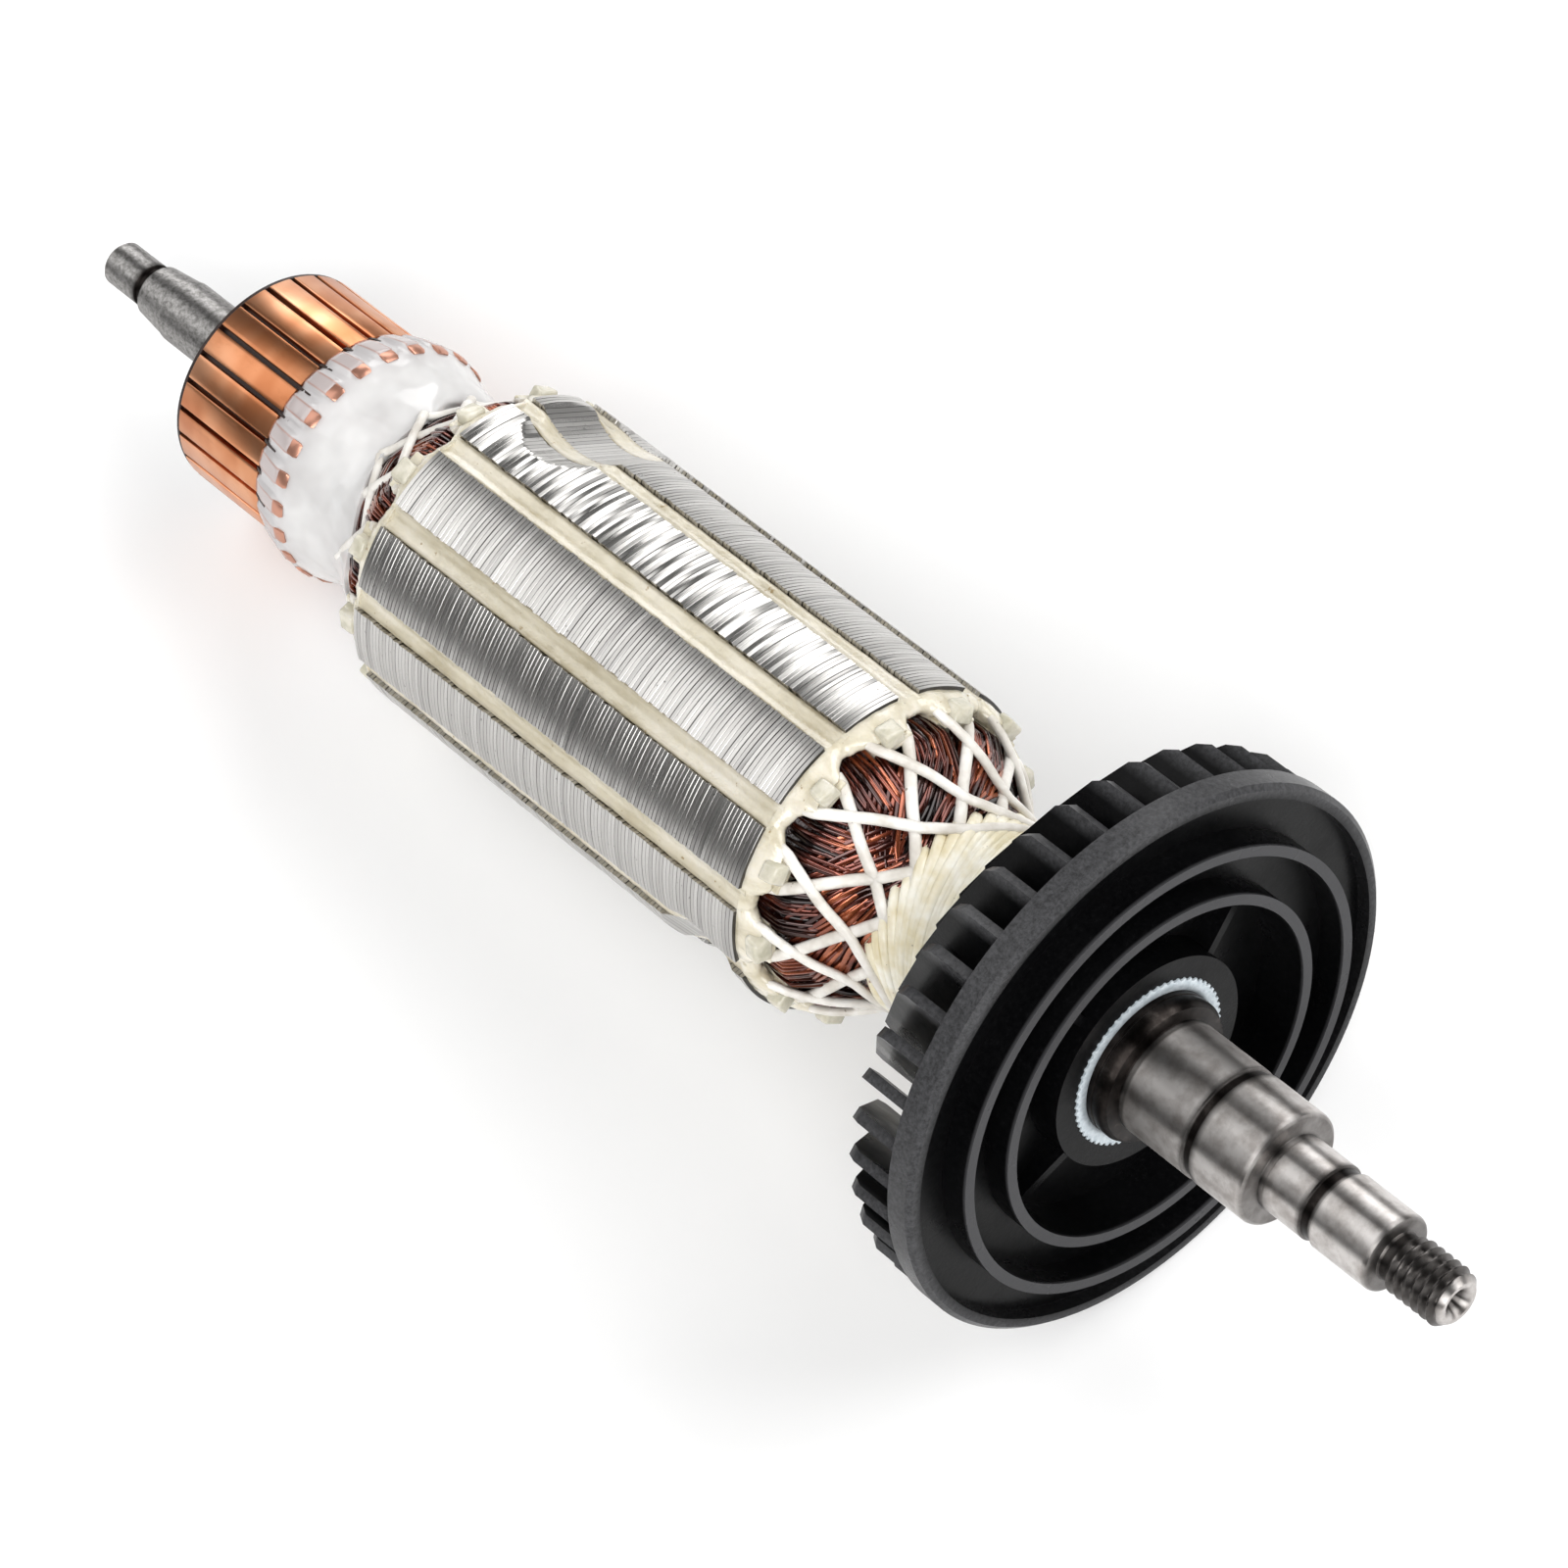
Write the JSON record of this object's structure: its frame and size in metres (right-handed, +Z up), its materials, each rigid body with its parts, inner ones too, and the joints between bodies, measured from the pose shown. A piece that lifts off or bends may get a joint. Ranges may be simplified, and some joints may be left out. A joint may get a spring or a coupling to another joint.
{
  "type": "motor armature",
  "caption": "Wound armature of a small brushed motor: stepped shaft, laminated core with laced windings, commutator in white resin and black cooling fan.",
  "frame": {"origin": "on the table, under the middle of the overall box", "axes": "+X along the table towards the threaded drive end, +Z up; the shaft line lies in the XZ plane and rises towards the drive end"},
  "size_m": [0.1938, 0.0584, 0.0586],
  "materials": {
    "steel": "turned and ground, oily in the grooves",
    "laminations": "stacked electrical sheet, ground on the tooth tips",
    "insulation": "moulded cream insulation",
    "closure_strip": "varnished cream strip",
    "slot_paper": "folded insulating paper",
    "enamelled_wire": "enamelled copper wire, varnished",
    "copper": "turned bare copper",
    "phenolic": "moulded brown phenolic",
    "resin": "cast white resin, glossy",
    "cord": "varnished lacing cord",
    "fan_nylon": "black moulded nylon, rubbed at the edges",
    "zinc": "cast zinc, bright turned face"
  },
  "bodies": {
    "root": {"shaft": "steel", "shaft_sleeve": "insulation", "core_stack": "laminations", "end_plate_rear": "insulation", "end_plate_front": "insulation", "slot_closures": "closure_strip", "commutator_hub": "phenolic", "resin_collar": "resin", "lacing_rear": "cord", "lacing_front": "cord", "fan": "fan_nylon", "fan_bush": "zinc", "slot_liner_01": "slot_paper", "slot_liner_02": "slot_paper", "slot_liner_03": "slot_paper", "slot_liner_04": "slot_paper", "slot_liner_05": "slot_paper", "slot_liner_06": "slot_paper", "slot_liner_07": "slot_paper", "slot_liner_08": "slot_paper", "slot_liner_09": "slot_paper", "slot_liner_10": "slot_paper", "slot_liner_11": "slot_paper", "slot_liner_12": "slot_paper", "coil_01": "enamelled_wire", "coil_02": "enamelled_wire", "coil_03": "enamelled_wire", "coil_04": "enamelled_wire", "coil_05": "enamelled_wire", "coil_06": "enamelled_wire", "coil_07": "enamelled_wire", "coil_08": "enamelled_wire", "coil_09": "enamelled_wire", "coil_10": "enamelled_wire", "coil_11": "enamelled_wire", "coil_12": "enamelled_wire", "commutator_bar_01": "copper", "commutator_bar_02": "copper", "commutator_bar_03": "copper", "commutator_bar_04": "copper", "commutator_bar_05": "copper", "commutator_bar_06": "copper", "commutator_bar_07": "copper", "commutator_bar_08": "copper", "commutator_bar_09": "copper", "commutator_bar_10": "copper", "commutator_bar_11": "copper", "commutator_bar_12": "copper", "commutator_bar_13": "copper", "commutator_bar_14": "copper", "commutator_bar_15": "copper", "commutator_bar_16": "copper", "commutator_bar_17": "copper", "commutator_bar_18": "copper", "commutator_bar_19": "copper", "commutator_bar_20": "copper", "commutator_bar_21": "copper", "commutator_bar_22": "copper", "commutator_bar_23": "copper", "commutator_bar_24": "copper"}
  },
  "joints": []
}
